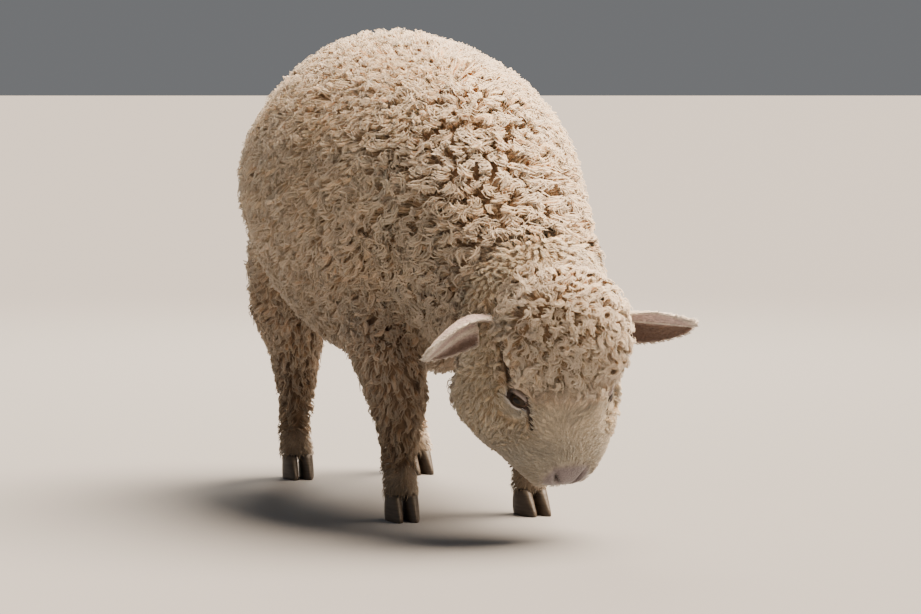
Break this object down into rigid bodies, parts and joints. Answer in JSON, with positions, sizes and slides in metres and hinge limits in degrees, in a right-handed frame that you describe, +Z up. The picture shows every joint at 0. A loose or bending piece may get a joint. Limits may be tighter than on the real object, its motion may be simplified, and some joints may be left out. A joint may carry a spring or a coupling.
{
  "type": "sheep",
  "caption": "Life-size still model of a young long-wooled sheep standing and grazing, with its head lowered to the ground and a full curly fleece.",
  "frame": {"origin": "on the ground, under the middle of the animal's bounding box", "axes": "+Z up; the animal's body points along -Y, so +Y is towards its tail; its left side is +X"},
  "size_m": [0.414, 0.9156, 0.6312],
  "materials": {
    "fleece": "matte curly wool",
    "face_wool": "matte short wool",
    "ear_skin": "velvety short hair",
    "eye": "wet gloss",
    "hoof_horn": "dull horn"
  },
  "bodies": {
    "root": {"head": "face_wool", "neck": "fleece", "trunk": "fleece", "tail": "fleece", "foreleg_left": "fleece", "foreleg_right": "fleece", "hindleg_left": "fleece", "hindleg_right": "fleece", "ear_left": "ear_skin", "ear_right": "ear_skin", "eye_left": "eye", "eye_right": "eye", "hoof_fore_left_outer": "hoof_horn", "hoof_fore_left_inner": "hoof_horn", "hoof_fore_right_outer": "hoof_horn", "hoof_fore_right_inner": "hoof_horn", "hoof_hind_left_outer": "hoof_horn", "hoof_hind_left_inner": "hoof_horn", "hoof_hind_right_outer": "hoof_horn", "hoof_hind_right_inner": "hoof_horn"}
  },
  "joints": []
}
